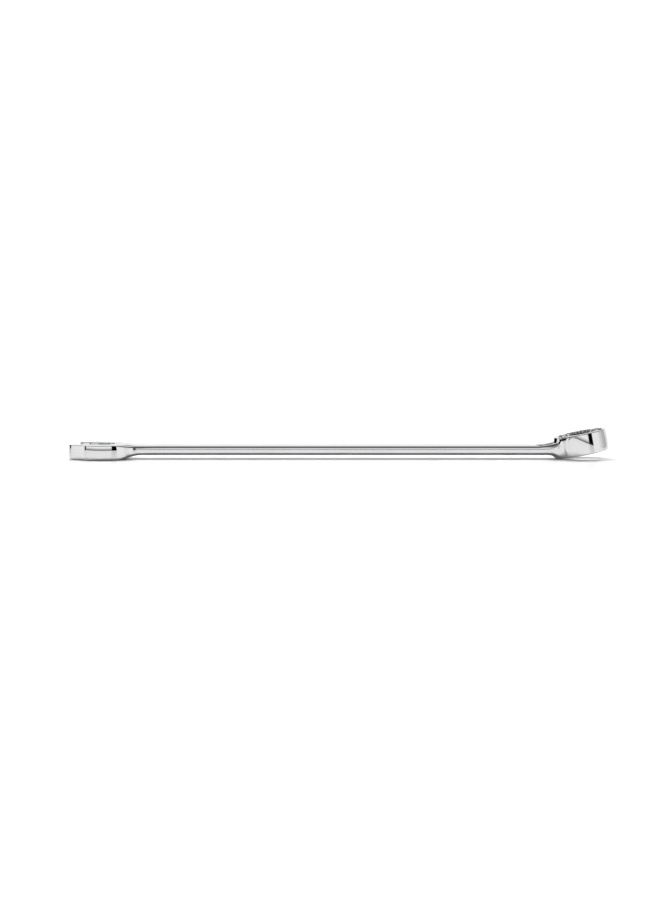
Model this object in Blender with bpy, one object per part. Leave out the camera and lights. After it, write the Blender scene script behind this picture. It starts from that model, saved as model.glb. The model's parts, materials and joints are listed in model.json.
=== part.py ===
"""Reversible ratcheting combination wrench, 13 mm, long pattern.

Plan view: +X runs along the shank from the open end to the ratchet head, +Y is across
the shank, +Z is up.  The wrench lies flat, resting on the open end and on the ring.
The ratchet head has its own frame (u, v, w): w is the gear's axis, leaned back from
vertical by OFFSET_ANGLE, and u points away from the shank.
"""
import math

import bmesh
import bpy
from mathutils import Matrix, Vector
from mathutils.geometry import convex_hull_2d, delaunay_2d_cdt

# ---------------------------------------------------------------- driving sizes (metres)
JAW_SIZE = 0.0130             # hexagon across flats, both ends
JAW_CLEARANCE = 0.0002        # extra width of the open jaw and of the socket
HEAD_THICKNESS = 0.0068       # open end
SHANK_THICKNESS = 0.0043
SHANK_HALF_WIDTH = 0.0062
SHANK_LIFT = 0.0006           # shank's middle above the open end's middle
RING_THICKNESS = 0.0099
OFFSET_ANGLE = math.radians(11.0)
RING_X = 0.2374               # gear axis, measured from the open end's tip
JAW_TURN = math.radians(-15.0)  # open end's turn in the plan view
JAW_HALF = (JAW_SIZE + JAW_CLEARANCE) / 2.0

# ratchet head's radii, from the socket outwards
SOCKET_CORNER = JAW_HALF / math.cos(math.pi / 6.0)
LOWER_COLLAR = SOCKET_CORNER + 0.00083
UPPER_COLLAR = LOWER_COLLAR + 0.00015
TOOTH_ROOT = LOWER_COLLAR + 0.00055
TOOTH_TIP = TOOTH_ROOT + 0.00050
SEAT_RADIUS = TOOTH_TIP + 0.00090
GROOVE_RADIUS = SEAT_RADIUS + 0.00050
RING_RADIUS = GROOVE_RADIUS + 0.00120
GEAR_TEETH = 72
GEAR_GAP = 0.00030
RING_SPLIT = 0.0030

# ratchet head's levels along the gear's axis, from the ring's middle
RING_HALF = RING_THICKNESS / 2.0
RIM_EASE = 0.00005            # how much the rounded lower rim lets the ring sink
RING_Z = RING_HALF * math.cos(OFFSET_ANGLE) + RING_RADIUS * math.sin(OFFSET_ANGLE) - RIM_EASE
GEAR_LOW = 0.00020 - RING_HALF
GEAR_HIGH = RING_HALF - 0.00015
LIP_TOP = 0.00105 - RING_HALF
TEETH_LOW = LIP_TOP + 0.00030
COVER_SEAT = RING_HALF - 0.00245
TEETH_HIGH = COVER_SEAT - 0.00070
WASHER_LIFT = 0.0002
WASHER_THICKNESS = 0.00030
WASHER_SLACK = 0.0001
COVER_LIFT = 0.0001
COVER_THICKNESS = 0.00080
COVER_SLACK = 0.0003
COVER_CHAMFER = 0.0001
GROOVE_LOW = RING_HALF - 0.00135
GROOVE_HIGH = RING_HALF - 0.00055
SNAP_THICKNESS = 0.00055
SNAP_INSIDE = 0.0012
SNAP_SLACK = 0.00025
COLLAR_CHAMFER = 0.0004
MOUTH_FLARE = 0.0012          # socket's lead-in, beyond the flats
MOUTH_DEPTH = 0.0007

# open end, in its own frame: tips at +, throat towards the shank
TIP_REACH = JAW_SIZE + 0.0006
HEAD_X = TIP_REACH + 0.0018
THROAT_START = -0.0010
THROAT_DEPTH = 0.0045
TIP_OUTER = JAW_HALF + 0.0032
FLANK_CORNER = (0.0006, JAW_HALF + 0.0083)
SHOULDER = (-0.0105, JAW_HALF + 0.0043)
FLANK_RADIUS = 0.0140
TIP_RADIUS = 0.0028
MOUTH_RADIUS = 0.0010
SHOULDER_RADII = {1: 0.0150, -1: 0.0095}
NECK_RADII = {1: 0.0080, -1: 0.0035}
SHOULDER_SLOPE = math.radians(44.0)
FAR_ALONG = 0.05              # reaches any point well along the shank's straight edge
THROAT_STEPS = 7
JAW_STEPS = 5
SHANK_STEPS = 8

# edges of the forging
EDGE_RADIUS = 0.0008
JAW_EDGE = 0.0003
WALL_DRAFT = math.radians(6.0)
JAW_DRAFT = math.radians(0.0)
WALL_ROWS = 7                 # outlines from the top face's edge to the underside's

# neck between shank and ring
BEND_LENGTH = 0.0060
RING_FILLET = 0.0080
RAMP_HEIGHT = 0.0026          # neck's flat top, in the head's frame
RAMP_LEAD = 0.01              # the flat top starts this far ahead of the bend
TOP_STEP = (RING_RADIUS + 0.00005, RING_RADIUS + 0.00120)
BOTTOM_STEP = (RING_RADIUS + 0.00010, RING_RADIUS + 0.00440)
HEAD_BLEND = (HEAD_X + 0.0081, HEAD_X + 0.0176)
NECK_GRID = (RING_RADIUS + 0.0114, RING_RADIUS - 0.0026, 0.0013)  # from, to, spacing
NECK_ROWS = 4
BLEND_GRID = (0.0021, 0.0033)     # spacing along and across where the open end thins

# lever, plunger and their bore, in the head's frame
PLUNGER_LEVEL = -0.00055
PLUNGER_RADIUS = 0.00075
PLUNGER_BORE = PLUNGER_RADIUS + 0.00020
BORE_END = 0.0040
SHAFT_RADIUS = 0.00235
SHAFT_EDGE = 0.0002
SHAFT_LOW = PLUNGER_LEVEL - PLUNGER_BORE - 0.00020
BORE_RADIUS = SHAFT_RADIUS + 0.00025
BORE_SPAN = (-0.0060, 0.0040)
CLIP_LEVEL = PLUNGER_LEVEL + PLUNGER_BORE + 0.00045
CLIP_WIRE = 0.00020
CLIP_SLOT = CLIP_WIRE + 0.00015
CLIP_BITE = 0.00025           # clip's overlap into the shaft's groove
CLIP_SPLIT = 0.0012
SPRING_START = -0.00130
SPRING_END = 0.00110
SPRING_WIRE = 0.00013
SPRING_TURNS = 4.5
SPRING_SLACK = 0.0002
PLUNGER_START = SPRING_END + 0.0003
LEVER_HUB = SHAFT_RADIUS + 0.00075
LEVER_REACH = LEVER_HUB + 0.0016
LEVER_TIP_HALF = 0.0013
LEVER_LOW = 0.00180
LEVER_HIGH = 0.00305
LEVER_EDGE = 0.00045
LEVER_SWING = math.radians(18.0)
SHAFT_JOIN = LEVER_LOW + 0.0005
SEAT_FLOOR = LEVER_LOW - 0.00025
SEAT_GAP = 0.00035
SEAT_OPEN = 0.0075            # cutter's top, clear of the neck

# pawl, in the head's frame
PAWL_PIVOT = -(TOOTH_TIP + 0.0018)
PAWL_ROCK = math.radians(6.5)
PAWL_LOW = -0.0019
PAWL_HIGH = 0.0008
PAWL_TEETH_INNER = math.radians(14.0)
PAWL_TEETH_OUTER = math.radians(31.0)
PAWL_GAP = 0.00012
PAWL_RELIEF = (PAWL_PIVOT + 0.00145, 0.0010)
PAWL_SHOULDER = ((-0.0006, 0.0001), (-0.0013, -0.0001))   # from the last tooth
PAWL_HEEL = ((PAWL_PIVOT - 0.0006, 0.0030), (PAWL_PIVOT - 0.0016, 0.0024))
PAWL_BACK_REACH = SHAFT_RADIUS + 0.00120
PAWL_NOTCH = math.radians(34.0)
POCKET_GAP = 0.00025
SHORTEST_EDGE = 0.0002        # pocket corners closer than this are merged
LEVER_PIVOT = PAWL_PIVOT - PAWL_BACK_REACH - 0.00135
PLUNGER_REACH = PAWL_BACK_REACH - 0.00025

ARC_STEP = math.radians(9.0)
FINE_STEP = math.radians(12.0)


# ---------------------------------------------------------------- scene helpers
def clear_scene():
    for item in list(bpy.data.objects):
        bpy.data.objects.remove(item, do_unlink=True)


def make_material(name, colour, roughness, metallic):
    material = bpy.data.materials.new(name)
    material.use_nodes = True
    shader = material.node_tree.nodes["Principled BSDF"]
    shader.inputs["Base Color"].default_value = (*colour, 1.0)
    shader.inputs["Roughness"].default_value = roughness
    shader.inputs["Metallic"].default_value = metallic
    material.diffuse_color = (*colour, 1.0)
    return material


def chrome_material():
    return make_material("polished_chrome", (0.82, 0.82, 0.83), 0.08, 1.0)


def steel_material(name):
    return make_material(name, (0.52, 0.52, 0.54), 0.28, 1.0)


def spring_material(name):
    return make_material(name, (0.40, 0.40, 0.42), 0.35, 1.0)


def add_object(name, vertices, faces, parent=None, material=None):
    mesh = bpy.data.meshes.new(name)
    mesh.from_pydata([tuple(v) for v in vertices], [], faces)
    mesh.update()
    work = bmesh.new()
    work.from_mesh(mesh)
    bmesh.ops.recalc_face_normals(work, faces=work.faces)
    work.to_mesh(mesh)
    work.free()
    mesh.shade_smooth()
    mesh.set_sharp_from_angle(angle=math.radians(32.0))
    item = bpy.data.objects.new(name, mesh)
    bpy.context.scene.collection.objects.link(item)
    item.parent = parent
    if material is not None:
        mesh.materials.append(material)
    return item


def add_empty(name, location, rotation=(0.0, 0.0, 0.0), parent=None):
    item = bpy.data.objects.new(name, None)
    item.empty_display_size = 0.01
    item.location = location
    item.rotation_euler = rotation
    item.parent = parent
    bpy.context.scene.collection.objects.link(item)
    return item


def hide_cutter(item):
    item.hide_render = True
    item.display_type = "WIRE"


def cut(item, cutter, operation="DIFFERENCE"):
    modifier = item.modifiers.new(cutter.name, "BOOLEAN")
    modifier.operation = operation
    modifier.solver = "EXACT"
    modifier.object = cutter
    hide_cutter(cutter)


# ---------------------------------------------------------------- solids from rules
def turned_solid(name, profile, parent=None, material=None, sides=64, centre=(0.0, 0.0)):
    """Closed ring or disc: (radius, height) points turned about the w axis."""
    vertices = []
    faces = []
    count = len(profile)
    for step in range(sides):
        angle = 2.0 * math.pi * step / sides
        for radius, height in profile:
            vertices.append((centre[0] + radius * math.cos(angle),
                             centre[1] + radius * math.sin(angle), height))
    closed = profile[0][0] > 0.0
    for step in range(sides):
        following = (step + 1) % sides
        for index in range(count if closed else count - 1):
            nearby = (index + 1) % count
            faces.append((step * count + index, following * count + index,
                          following * count + nearby, step * count + nearby))
    if not closed:
        vertices, faces = merge_axis(vertices, faces, count, sides)
    return add_object(name, vertices, faces, parent, material)


def merge_axis(vertices, faces, count, sides):
    """Joins the points that a turned profile has on the axis into one point each."""
    keep = {}
    points = []
    remap = []
    for index, vertex in enumerate(vertices):
        place = index % count
        if place in (0, count - 1):
            if place not in keep:
                keep[place] = len(points)
                points.append(vertex)
            remap.append(keep[place])
        else:
            remap.append(len(points))
            points.append(vertex)
    joined = []
    for face in faces:
        corners = []
        for corner in face:
            if remap[corner] not in corners:
                corners.append(remap[corner])
        if len(corners) > 2:
            joined.append(tuple(corners))
    return points, joined


def prism(name, outline, low, high, parent=None, material=None):
    """Straight extrusion of a closed outline between two heights."""
    count = len(outline)
    vertices = [(x, y, low) for x, y in outline] + [(x, y, high) for x, y in outline]
    faces = [tuple(range(count - 1, -1, -1)), tuple(range(count, 2 * count))]
    for index in range(count):
        following = (index + 1) % count
        faces.append((index, following, count + following, count + index))
    return add_object(name, vertices, faces, parent, material)


def bevelled_prism(name, outline, low, high, edge, parent=None, material=None):
    """Extrusion whose top and bottom edges are chamfered by edge."""
    normals = outline_normals(outline)
    inner = [(p[0] - n[0] * edge, p[1] - n[1] * edge) for p, n in zip(outline, normals)]
    levels = [(inner, low), (outline, low + edge), (outline, high - edge), (inner, high)]
    return stacked_solid(name, levels, parent, material)


def stacked_solid(name, levels, parent=None, material=None):
    """Closed solid through outlines of equal length at rising heights."""
    count = len(levels[0][0])
    vertices = []
    for outline, height in levels:
        vertices.extend((x, y, height) for x, y in outline)
    faces = [tuple(range(count - 1, -1, -1))]
    for level in range(len(levels) - 1):
        base = level * count
        for index in range(count):
            following = (index + 1) % count
            faces.append((base + index, base + following,
                          base + count + following, base + count + index))
    faces.append(tuple(range((len(levels) - 1) * count, len(levels) * count)))
    return add_object(name, vertices, faces, parent, material)


def arc(centre, radius, start, end, step=ARC_STEP):
    count = max(2, int(math.ceil(abs(end - start) / step)))
    points = []
    for index in range(count + 1):
        angle = start + (end - start) * index / count
        points.append((centre[0] + radius * math.cos(angle),
                       centre[1] + radius * math.sin(angle)))
    return points


def turn(point, angle, centre=(0.0, 0.0)):
    x = point[0] - centre[0]
    y = point[1] - centre[1]
    return (centre[0] + x * math.cos(angle) - y * math.sin(angle),
            centre[1] + x * math.sin(angle) + y * math.cos(angle))


def outline_normals(points):
    """Outward normals of a counter-clockwise outline."""
    normals = []
    count = len(points)
    for index in range(count):
        before = Vector(points[index - 1])
        here = Vector(points[index])
        after = Vector(points[(index + 1) % count])
        first = (here - before).normalized()
        second = (after - here).normalized()
        along = (first + second).normalized()
        stretch = 1.0 / max(0.5, along.dot(first))
        normals.append((along.y * stretch, -along.x * stretch))
    return normals


def smooth(low, high, value):
    share = min(1.0, max(0.0, (value - low) / (high - low)))
    return share * share * (3.0 - 2.0 * share)


def rounded_corner(before, corner, after, radius):
    """Arc that replaces a corner of a polygon."""
    a = Vector(before) - Vector(corner)
    b = Vector(after) - Vector(corner)
    half = a.angle(b) / 2.0
    a.normalize()
    b.normalize()
    reach = radius / math.tan(half)
    start = Vector(corner) + a * reach
    end = Vector(corner) + b * reach
    centre = Vector(corner) + (a + b).normalized() * (radius / math.sin(half))
    first = math.atan2(start.y - centre.y, start.x - centre.x)
    last = math.atan2(end.y - centre.y, end.x - centre.x)
    sweep = (last - first + math.pi) % (2.0 * math.pi) - math.pi
    return arc(centre, radius, first, first + sweep)


# ---------------------------------------------------------------- the forging's plan view
def head_point(point, side):
    """Open end's own frame to the plan view; side is +1 or -1 across the jaw."""
    turned = turn((-point[0], -side * point[1]), JAW_TURN)
    return (HEAD_X + turned[0], turned[1])


def shank_corner(side):
    """Where the shoulder's slope would meet the shank's edge."""
    shoulder = head_point(SHOULDER, side)
    edge = -math.copysign(SHANK_HALF_WIDTH, side)
    return (shoulder[0] + abs(shoulder[1] - edge) / math.tan(SHOULDER_SLOPE), edge)


def head_side(side):
    """One side of the open end, from the throat's middle out and back to the shank."""
    gap = JAW_HALF
    mouth = head_point((TIP_REACH, gap), side)
    tip = head_point((TIP_REACH, TIP_OUTER), side)
    flank = head_point(FLANK_CORNER, side)
    shoulder = head_point(SHOULDER, side)
    neck = shank_corner(side)
    inside = head_point((THROAT_START, gap), side)
    far = (neck[0] + FAR_ALONG, neck[1])
    throat = []
    for index in range(THROAT_STEPS):
        angle = math.pi / 2.0 * index / THROAT_STEPS
        throat.append(head_point((THROAT_START - THROAT_DEPTH * math.cos(angle),
                                  gap * math.sin(angle)), side))
    flat = []
    for index in range(JAW_STEPS):
        share = index / JAW_STEPS
        reach = THROAT_START + (TIP_REACH - 1.2 * MOUTH_RADIUS - THROAT_START) * share
        flat.append(head_point((reach, gap), side))
    machined = throat + flat
    points = list(machined)
    points += rounded_corner(inside, mouth, tip, MOUTH_RADIUS)
    points += rounded_corner(mouth, tip, flank, TIP_RADIUS)
    points += rounded_corner(tip, flank, shoulder, FLANK_RADIUS)
    points += rounded_corner(flank, shoulder, neck, SHOULDER_RADII[side])
    points += rounded_corner(shoulder, neck, far, NECK_RADII[side])
    return points, len(machined)


def ring_side():
    """Upper half of the neck and ring, from the shank to the far end."""
    across = SHANK_HALF_WIDTH + RING_FILLET
    along = -math.sqrt((RING_RADIUS + RING_FILLET) ** 2 - across ** 2)
    meeting = math.atan2(across, along)
    centre = (RING_S + along, across)
    points = arc(centre, RING_FILLET, -math.pi / 2.0, meeting - math.pi)
    points += arc((RING_S, 0.0), RING_RADIUS, meeting, 0.0, math.radians(7.0))[1:]
    return points


def forging_outline():
    """Counter-clockwise outline in plan, with a mark on every machined point."""
    near, near_machined = head_side(1)
    far, far_machined = head_side(-1)
    right = ring_side()
    points = []
    machined = []
    for index, point in enumerate(near):
        points.append(point)
        machined.append(index < near_machined)
    start = near[-1]
    lower = [(p[0], -p[1]) for p in right]
    for step in range(1, SHANK_STEPS):
        share = step / SHANK_STEPS
        points.append((start[0] + (lower[0][0] - start[0]) * share, start[1]))
        machined.append(False)
    points.extend(lower)
    machined.extend([False] * len(lower))
    upper = right[:-1][::-1]
    points.extend(upper)
    machined.extend([False] * len(upper))
    last = far[-1]
    for step in range(1, SHANK_STEPS):
        share = step / SHANK_STEPS
        points.append((upper[-1][0] + (last[0] - upper[-1][0]) * share, last[1]))
        machined.append(False)
    for index in range(len(far) - 1, 0, -1):
        points.append(far[index])
        machined.append(index < far_machined)
    return points, machined


# ---------------------------------------------------------------- the forging's heights
BEND_RADIUS = BEND_LENGTH / OFFSET_ANGLE
SHANK_Z = HEAD_THICKNESS / 2.0 + SHANK_LIFT
BEND_X = RING_X - (RING_Z - SHANK_Z) / math.tan(OFFSET_ANGLE)
BEND_START = BEND_X - BEND_RADIUS * math.tan(OFFSET_ANGLE / 2.0)
BEND_END = BEND_START + BEND_LENGTH
AFTER_BEND = (RING_X - BEND_X) / math.cos(OFFSET_ANGLE) - BEND_RADIUS * math.tan(OFFSET_ANGLE / 2.0)
RING_S = BEND_END + AFTER_BEND


def centreline(s):
    """Middle of the forging at arc length s: (x, z, lean)."""
    level = HEAD_THICKNESS / 2.0 + SHANK_LIFT * smooth(HEAD_BLEND[0], HEAD_BLEND[1], s)
    if s <= BEND_START:
        return s, level, 0.0
    if s <= BEND_END:
        lean = (s - BEND_START) / BEND_RADIUS
        return (BEND_START + BEND_RADIUS * math.sin(lean),
                SHANK_Z + BEND_RADIUS * (1.0 - math.cos(lean)), lean)
    rest = s - BEND_END
    x = BEND_START + BEND_RADIUS * math.sin(OFFSET_ANGLE) + rest * math.cos(OFFSET_ANGLE)
    z = SHANK_Z + BEND_RADIUS * (1.0 - math.cos(OFFSET_ANGLE)) + rest * math.sin(OFFSET_ANGLE)
    return x, z, OFFSET_ANGLE


def in_space(s, y, height):
    x, z, lean = centreline(s)
    return (x - height * math.sin(lean), y, z + height * math.cos(lean))


def ramp_above(s):
    """Height of the neck's flat top above the centreline."""
    x, z, lean = centreline(s)
    across = ((z - RING_Z) * math.cos(OFFSET_ANGLE)
              - (x - RING_X) * math.sin(OFFSET_ANGLE))
    return (RAMP_HEIGHT - across) / math.cos(OFFSET_ANGLE - lean)


def half_heights(s, y):
    """Distance from the centreline up to the top and down to the underside."""
    blend = smooth(HEAD_BLEND[0], HEAD_BLEND[1], s)
    plain = (HEAD_THICKNESS + (SHANK_THICKNESS - HEAD_THICKNESS) * blend) / 2.0
    from_axis = math.hypot(s - RING_S, y)
    top = max(plain, ramp_above(s)) if s > BEND_START - RAMP_LEAD else plain
    full = RING_HALF
    top += (full - top) * (1.0 - smooth(TOP_STEP[0], TOP_STEP[1], from_axis))
    low = plain + (full - plain) * (1.0 - smooth(BOTTOM_STEP[0], BOTTOM_STEP[1], from_axis))
    return top, low


def wall_levels(half, edge, draft):
    """(inset, height) from the face's edge down to the forging's middle line."""
    straight = half - edge * (1.0 - math.sin(draft))
    bulge = straight * math.tan(draft / 2.0)
    levels = []
    for angle in (math.pi / 2.0, (math.pi / 2.0 + draft) / 2.0, draft):
        levels.append((bulge + edge * (math.cos(draft) - math.cos(angle)),
                       straight + edge * (math.sin(angle) - math.sin(draft))))
    levels.append((0.0, 0.0))
    return levels


def neck_stations():
    """Extra points inside the neck and behind the open end, where the faces bend."""
    stations = []
    begin, finish, spacing = NECK_GRID
    s = RING_S - begin
    while s < RING_S - finish:
        for row in range(-NECK_ROWS, NECK_ROWS + 1):
            y = row * spacing
            if math.hypot(s - RING_S, y) > RING_RADIUS - spacing:
                stations.append((s, y))
        s += spacing
    along, across = BLEND_GRID
    s = HEAD_BLEND[0]
    while s < HEAD_BLEND[1] + along:
        stations.extend((s, row * across) for row in (-1.0, 0.0, 1.0))
        s += along
    return stations


def outline_column(point, normal, is_machined):
    """Points of the wall at one place of the outline, from the top edge to the lower one."""
    edge = JAW_EDGE if is_machined else EDGE_RADIUS
    draft = JAW_DRAFT if is_machined else WALL_DRAFT
    top, low = half_heights(point[0], point[1])
    upper = wall_levels(top, edge, draft)
    lower = [(inset, -height) for inset, height in wall_levels(low, edge, draft)]
    column = []
    for inset, height in upper + lower[-2::-1]:
        column.append((point[0] - normal[0] * inset, point[1] - normal[1] * inset, height))
    first, last = column[0], column[-1]
    column[0] = (first[0], first[1], half_heights(first[0], first[1])[0])
    column[-1] = (last[0], last[1], -half_heights(last[0], last[1])[1])
    return column


def forging_shell():
    """Closed skin of the forging without its machined pockets."""
    outline, machined = forging_outline()
    normals = outline_normals(outline)
    count = len(outline)
    columns = [outline_column(*place) for place in zip(outline, normals, machined)]
    vertices = [in_space(*column[row]) for row in range(WALL_ROWS) for column in columns]
    faces = []
    for row in range(WALL_ROWS - 1):
        for index in range(count):
            following = (index + 1) % count
            faces.append(((row + 1) * count + index, (row + 1) * count + following,
                          row * count + following, row * count + index))
    plan = [column[0][:2] for column in columns]
    add_faces_of_plan(plan, neck_stations(), vertices, faces, count)
    return vertices, faces


def add_faces_of_plan(plan, stations, vertices, faces, count):
    """Fills the top and the underside inside the innermost outline."""
    seeds = [Vector(p) for p in plan] + [Vector(p) for p in stations]
    loop = [list(range(count))]
    found = delaunay_2d_cdt(seeds, [], loop, 1, 1e-9)
    points, _, triangles, sources = found[0], found[1], found[2], found[3]
    top_index = []
    low_index = []
    for place, point in enumerate(points):
        outline_source = [k for k in sources[place] if k < count]
        if outline_source:
            top_index.append(outline_source[0])
            low_index.append((WALL_ROWS - 1) * count + outline_source[0])
            continue
        top, low = half_heights(point.x, point.y)
        top_index.append(len(vertices))
        vertices.append(in_space(point.x, point.y, top))
        low_index.append(len(vertices))
        vertices.append(in_space(point.x, point.y, -low))
    for triangle in triangles:
        faces.append(tuple(top_index[k] for k in triangle))
        faces.append(tuple(low_index[k] for k in reversed(triangle)))


# ---------------------------------------------------------------- machined pockets
def gear_cavity(parent):
    over = 0.001
    profile = [(LOWER_COLLAR + GEAR_GAP, -RING_HALF - over),
               (LOWER_COLLAR + GEAR_GAP, LIP_TOP),
               (TOOTH_TIP + GEAR_GAP, LIP_TOP),
               (TOOTH_TIP + GEAR_GAP, COVER_SEAT),
               (SEAT_RADIUS, COVER_SEAT),
               (SEAT_RADIUS, GROOVE_LOW),
               (GROOVE_RADIUS, GROOVE_LOW),
               (GROOVE_RADIUS, GROOVE_HIGH),
               (SEAT_RADIUS, GROOVE_HIGH),
               (SEAT_RADIUS, RING_HALF + over)]
    full = [(0.0, profile[0][1])] + profile + [(0.0, profile[-1][1])]
    return turned_solid("cavity_cutter", full, parent, sides=72)


def pocket_outline():
    """Smallest hollow that lets the pawl rock both ways, with a gap all round."""
    window = PLUNGER_REACH * math.sin(LEVER_SWING) + PLUNGER_RADIUS
    inner = LEVER_PIVOT + SHAFT_RADIUS / 2.0
    swept = [(inner, -window), (inner, window)]
    for rock in (-PAWL_ROCK, 0.0, PAWL_ROCK):
        swept.extend(turn(p, rock, (PAWL_PIVOT, 0.0)) for p in pawl_outline())
    hull = [Vector(swept[k]) for k in convex_hull_2d([Vector(p) for p in swept])]
    kept = [p for k, p in enumerate(hull) if (p - hull[k - 1]).length > SHORTEST_EDGE]
    area = sum(kept[k - 1].cross(p) for k, p in enumerate(kept))
    if area < 0.0:
        kept.reverse()
    normals = outline_normals(kept)
    return [(p.x + n[0] * POCKET_GAP, p.y + n[1] * POCKET_GAP) for p, n in zip(kept, normals)]


def pawl_pocket(parent):
    return prism("pocket_cutter", pocket_outline(), PAWL_LOW - POCKET_GAP,
                 PAWL_HIGH + POCKET_GAP, parent)


def lever_bore(parent):
    low, high = BORE_SPAN
    groove = BORE_RADIUS + 0.0003
    profile = [(0.0, low),
               (BORE_RADIUS, low),
               (BORE_RADIUS, CLIP_LEVEL - CLIP_SLOT),
               (groove, CLIP_LEVEL - CLIP_SLOT),
               (groove, CLIP_LEVEL + CLIP_SLOT),
               (BORE_RADIUS, CLIP_LEVEL + CLIP_SLOT),
               (BORE_RADIUS, high),
               (0.0, high)]
    return turned_solid("bore_cutter", profile, parent, sides=40, centre=(LEVER_PIVOT, 0.0))


def lever_lean():
    """Angle between the tab's straight edges and its middle line."""
    return math.asin((LEVER_HUB - LEVER_TIP_HALF) / (LEVER_REACH - LEVER_TIP_HALF))


def lever_seat(parent):
    """Recess under the lever: the hub's circle and the sector that the tab sweeps."""
    reach = LEVER_REACH + SEAT_GAP
    radius = LEVER_HUB + SEAT_GAP
    slack = math.acos(LEVER_HUB / (radius - SEAT_GAP / 2.0))
    half = LEVER_SWING + math.pi / 2.0 - lever_lean() - slack
    outline = arc((0.0, 0.0), radius, math.pi + half, 3.0 * math.pi - half, FINE_STEP)
    outline += arc((0.0, 0.0), reach, math.pi - half, math.pi + half, FINE_STEP)
    outline = [(LEVER_PIVOT + x, y) for x, y in outline]
    return prism("seat_cutter", outline, SEAT_FLOOR, SEAT_OPEN, parent)


def wrench_body(root, head_frame):
    vertices, faces = forging_shell()
    body = add_object("wrench_body", vertices, faces, root, chrome_material())
    for cutter in (gear_cavity(head_frame), pawl_pocket(head_frame),
                   lever_bore(head_frame), lever_seat(head_frame)):
        cut(body, cutter)
    return body


# ---------------------------------------------------------------- ratchet pieces
def tooth_outline():
    """Tips and roots of the gear; a root lies on the head's centre line."""
    points = []
    pitch = 2.0 * math.pi / GEAR_TEETH
    for tooth in range(GEAR_TEETH):
        root = tooth * pitch
        points.append((TOOTH_ROOT * math.cos(root), TOOTH_ROOT * math.sin(root)))
        tip = root + pitch / 2.0
        points.append((TOOTH_TIP * math.cos(tip), TOOTH_TIP * math.sin(tip)))
    return points


def socket_outline():
    """Twelve-point socket: two hexagons, one turned by 30 degrees."""
    notch = JAW_HALF / math.cos(math.pi / 12.0)
    points = []
    for index in range(24):
        angle = index * math.pi / 12.0
        radius = SOCKET_CORNER if index % 2 == 0 else notch
        points.append((radius * math.cos(angle), radius * math.sin(angle)))
    return points


def resample(outline, count):
    """Radius of an outline, star-shaped about the origin, at even angles."""
    points = []
    total = len(outline)
    for index in range(count):
        angle = 2.0 * math.pi * index / count
        ray = Vector((math.cos(angle), math.sin(angle)))
        for k in range(total):
            a = Vector(outline[k])
            b = Vector(outline[(k + 1) % total])
            side = b - a
            det = ray.x * side.y - ray.y * side.x
            if abs(det) < 1e-15:
                continue
            reach = (a.x * side.y - a.y * side.x) / det
            share = (a.x * ray.y - a.y * ray.x) / det
            if reach > 0.0 and -1e-9 <= share <= 1.0 + 1e-9:
                points.append((ray.x * reach, ray.y * reach))
                break
    return points


def circle(radius, count):
    return [(radius * math.cos(2.0 * math.pi * k / count),
             radius * math.sin(2.0 * math.pi * k / count)) for k in range(count)]


def ratchet_gear(parent):
    count = 2 * GEAR_TEETH
    teeth = tooth_outline()
    socket = resample(socket_outline(), count)
    mouth = circle(JAW_SIZE / 2.0 + MOUTH_FLARE, count)
    lower = circle(LOWER_COLLAR, count)
    upper = circle(UPPER_COLLAR, count)
    rounded = circle(UPPER_COLLAR - COLLAR_CHAMFER, count)
    loops = [(mouth, GEAR_LOW), (lower, GEAR_LOW), (lower, TEETH_LOW), (teeth, TEETH_LOW),
             (teeth, TEETH_HIGH), (upper, TEETH_HIGH), (upper, GEAR_HIGH - COLLAR_CHAMFER),
             (rounded, GEAR_HIGH), (mouth, GEAR_HIGH), (socket, GEAR_HIGH - MOUTH_DEPTH),
             (socket, GEAR_LOW + MOUTH_DEPTH)]
    vertices = []
    faces = []
    for outline, height in loops:
        vertices.extend((x, y, height) for x, y in outline)
    for level in range(len(loops)):
        base = level * count
        above = (level + 1) % len(loops) * count
        for index in range(count):
            following = (index + 1) % count
            faces.append((base + index, base + following, above + following, above + index))
    return add_object("ratchet_gear", vertices, faces, parent, steel_material("gear_steel"))


def split_ring(name, inner, outer, low, high, split, parent, material, along=0.0, sides=48):
    """Flat ring with a gap, centred along u; the gap faces +u."""
    opening = split / (inner + outer)
    turns = [opening + 2.0 * (math.pi - opening) * k / sides for k in range(sides + 1)]
    outline = [(along + outer * math.cos(t), outer * math.sin(t)) for t in turns]
    outline += [(along + inner * math.cos(t), inner * math.sin(t)) for t in reversed(turns)]
    count = len(outline)
    vertices = [(x, y, low) for x, y in outline] + [(x, y, high) for x, y in outline]
    faces = []
    half = sides + 1
    for index in range(sides):
        faces.append((index, index + 1, count - 2 - index, count - 1 - index))
        faces.append((count + index, count + index + 1, 2 * count - 2 - index, 2 * count - 1 - index))
    for index in range(count):
        following = (index + 1) % count
        faces.append((index, following, count + following, count + index))
    return add_object(name, vertices, faces, parent, material)


def gear_friction_washer(parent):
    low = TEETH_HIGH + WASHER_LIFT
    high = low + WASHER_THICKNESS
    inner = UPPER_COLLAR + GEAR_GAP
    outer = TOOTH_TIP + WASHER_SLACK
    profile = [(inner, low), (outer, low), (outer, high), (inner, high)]
    return turned_solid("gear_friction_washer", profile, parent, spring_material("washer_steel"))


def gear_cover_ring(parent):
    low = COVER_SEAT + COVER_LIFT
    high = low + COVER_THICKNESS
    inner = UPPER_COLLAR + GEAR_GAP
    outer = SEAT_RADIUS - COVER_SLACK
    profile = [(inner, low), (outer, low), (outer, high - COVER_CHAMFER),
               (outer - COVER_CHAMFER, high), (inner, high)]
    return turned_solid("gear_cover_ring", profile, parent, steel_material("cover_steel"))


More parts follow.
